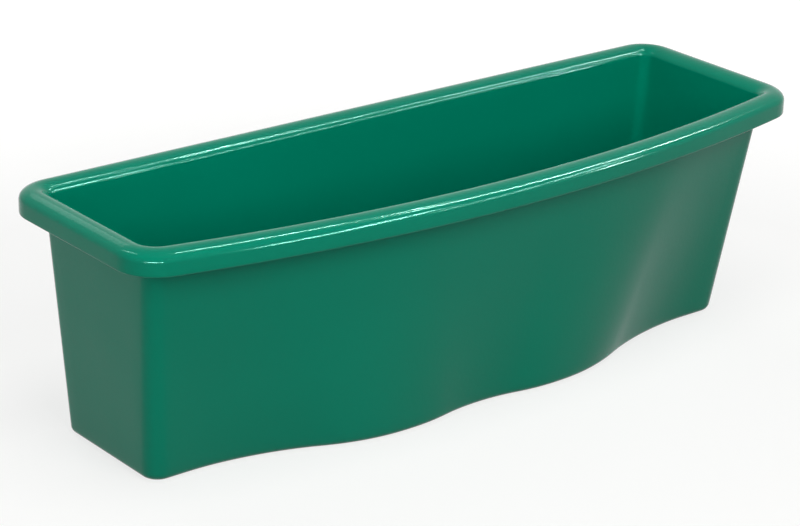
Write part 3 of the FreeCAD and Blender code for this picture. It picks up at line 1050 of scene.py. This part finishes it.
@dataclass
class Studio:
    """A plain pale floor, an even sky, soft lamps, gleam lamps and the camera."""

    floor_colour: str = "#80807e"
    floor_size: float = 40.0
    floor_drop: float = 0.2
    sky_level: float = 0.16
    floor_lift: float = 0.73
    lamps: tuple[SoftBox, ...] = (
        SoftBox("front_softbox", (-0.3, -2.0, 1.45), 1.5, 1.5, 4.0),
        SoftBox("low_fill", (-0.25, -1.35, 0.8), 1.6, 0.4, 0.5),
        SoftBox("overhead_softbox", (-0.2, -0.6, 2.4), 1.2, 0.9, 5.1),
        SoftBox("left_softbox", (-2.3, -0.5, 0.9), 1.0, 1.0, 4.4, (0, 1, 0)),
        SoftBox("right_softbox", (2.4, 0.5, 1.1), 1.2, 1.0, 3.1, (0, 1, 0)),
        SoftBox("back_softbox", (0.1, 2.5, 1.0), 1.6, 1.0, 4.3),
        SoftBox.tube("right_tube", (1.10, -0.65, 2.36), (2.25, -0.48, 1.68), 0.07, 198.3),
        SoftBox.tube("high_tube", (0.42, -0.30, 2.60), (0.98, -0.12, 2.44), 0.06, 186.7),
        SoftBox.tube("rising_tube", (0.32, -2.48, 0.25), (1.15, -2.00, 1.45), 0.09, 198.3),
        SoftBox.tube("front_tube", (1.00, -2.05, 0.40), (1.90, -1.40, 1.40), 0.06, 93.3),
        SoftBox.tube("corner_tube", (-2.30, -1.20, 0.25), (-1.10, -2.25, 0.12), 0.09, 186.7),
        SoftBox.tube("rear_panel", (-0.50, 1.95, 1.75), (0.50, 1.95, 1.55), 0.30, 1.2),
        SoftBox.tube("corner_spot", (1.24, -0.28, 2.55), (1.38, -0.22, 2.49), 0.07, 256.7),
        SoftBox.tube("low_spot", (1.88, -1.88, 0.34), (2.02, -1.74, 0.44), 0.10, 256.7),
        SoftBox.tube("back_tube", (-1.10, 1.60, 2.00), (-1.13, 0.70, 2.50), 0.07, 35.0),
    )

    def white_seen(self, tree: bpy.types.NodeTree) -> bpy.types.NodeSocket:
        """A factor that is 1 for camera, glossy and transmission rays.

        Args:
            tree: the tree to add to.

        Returns:
            The factor's socket.
        """
        path = put(tree, "ShaderNodeLightPath")
        both = put(tree, "ShaderNodeMath", {"operation": "MAXIMUM"},
                   {0: path.outputs["Is Camera Ray"], 1: path.outputs["Is Glossy Ray"]})
        return put(tree, "ShaderNodeMath", {"operation": "MAXIMUM"},
                   {0: both.outputs[0], 1: path.outputs["Is Transmission Ray"]}).outputs[0]

    def sky(self) -> None:
        """An even pale sky that looks plain white."""
        world = bpy.data.worlds.new("studio_sky")
        bpy.context.scene.world = world
        tree = cleared_tree(world)
        seen = self.white_seen(tree)
        level = put(tree, "ShaderNodeMapRange", inputs={
            "Value": seen, "To Min": self.sky_level, "To Max": 1.0})
        light = put(tree, "ShaderNodeBackground", inputs={
            "Color": linear("#ffffff"), "Strength": level.outputs["Result"]})
        put(tree, "ShaderNodeOutputWorld", inputs={"Surface": light.outputs["Background"]})

    def floor(self) -> bpy.types.Object:
        """A pale floor that whitens away from the object and keeps its shadow near it.

        Returns:
            The floor.
        """
        made = bpy.data.materials.new("pale_studio_floor")
        tree = cleared_tree(made)
        place = put(tree, "ShaderNodeTexCoord").outputs["Object"]
        away = put(tree, "ShaderNodeVectorMath", {"operation": "LENGTH"}, {0: place})
        lift = put(tree, "ShaderNodeMapRange", inputs={
            "Value": away.outputs["Value"], "From Min": 0.6, "From Max": 1.6,
            "To Min": self.floor_lift, "To Max": 1.0})
        strength = put(tree, "ShaderNodeMath", {"operation": "MULTIPLY"},
                       {0: lift.outputs["Result"], 1: self.white_seen(tree)})
        surface = put(tree, "ShaderNodeBsdfPrincipled", inputs={
            "Base Color": linear(self.floor_colour), "Roughness": 0.9, "Specular IOR Level": 0.0,
            "Emission Color": linear("#ffffff"), "Emission Strength": strength.outputs[0]})
        put(tree, "ShaderNodeOutputMaterial", inputs={"Surface": surface.outputs["BSDF"]})
        mesh = bmesh.new()
        bmesh.ops.create_grid(mesh, x_segments=1, y_segments=1, size=self.floor_size / 2)
        bmesh.ops.translate(mesh, vec=(0, 0, -self.floor_drop * MM), verts=mesh.verts)
        data = bpy.data.meshes.new("studio_floor")
        mesh.to_mesh(data)
        mesh.free()
        data.materials.append(made)
        floor = bpy.data.objects.new("studio_floor", data)
        bpy.context.scene.collection.objects.link(floor)
        return floor

    def camera(self) -> bpy.types.Object:
        """The camera at the photograph's place: a long lens from the front left, above the rim.

        Returns:
            The camera.
        """
        width, middle_x, middle_y = 800, 400, 263
        focal, centre_x, centre_y = 2759.49, 408.08, 256.37
        azimuth, elevation, roll = (math.radians(a) for a in (-39.22, 21.7, 1.47))
        slide = Vector((-10.75, -2.56, 2698.52))
        aimed_at = Vector((0.0, 25.0, 124.0))
        back = Vector((math.sin(azimuth) * math.cos(elevation),
                       -math.cos(azimuth) * math.cos(elevation), math.sin(elevation)))
        across = Vector((0, 0, 1)).cross(back).normalized()
        up = back.cross(across)
        right = math.cos(roll) * across + math.sin(roll) * up
        top = -math.sin(roll) * across + math.cos(roll) * up
        place = (aimed_at + slide.x * right + slide.y * top + slide.z * back) * MM
        data = bpy.data.cameras.new("studio_camera")
        data.sensor_width = 36.0
        data.lens = focal / width * data.sensor_width
        data.shift_x = (middle_x - centre_x) / width
        data.shift_y = (centre_y - middle_y) / width
        data.clip_start, data.clip_end = 0.1, 100.0
        camera = bpy.data.objects.new("studio_camera", data)
        turned = Matrix((right, top, back)).transposed().to_4x4()
        camera.matrix_world = Matrix.Translation(place) @ turned
        bpy.context.scene.collection.objects.link(camera)
        bpy.context.scene.camera = camera
        return camera

    def build(self) -> None:
        """Set up the whole studio."""
        self.sky()
        self.floor()
        for lamp in self.lamps:
            lamp.hang()
        self.camera()
        bpy.context.scene.view_settings.view_transform = "Standard"
        log.info("studio: %d lamps", len(self.lamps))


def main() -> None:
    """Build the planter's pieces in order, then the studio around them."""
    logging.basicConfig(level=logging.INFO, format="%(name)s: %(message)s")
    wall = WallOutline()
    trough = Trough(wall)
    trough.build(GREEN_POLYETHYLENE.material())
    grid = DrainGrid(wall, trough)
    black = BLACK_POLYPROPYLENE.material()
    for side in (-1, 1):
        grid.build(side, black)
    plug = DrainPlug(trough)
    rubber = DARK_RUBBER.material()
    places = [side * x for side in (-1, 1) for x in trough.drain_x]
    for number, x in enumerate(places, start=1):
        plug.build(number, x, rubber)
    Studio().build()


if __name__ == "__main__":
    main()
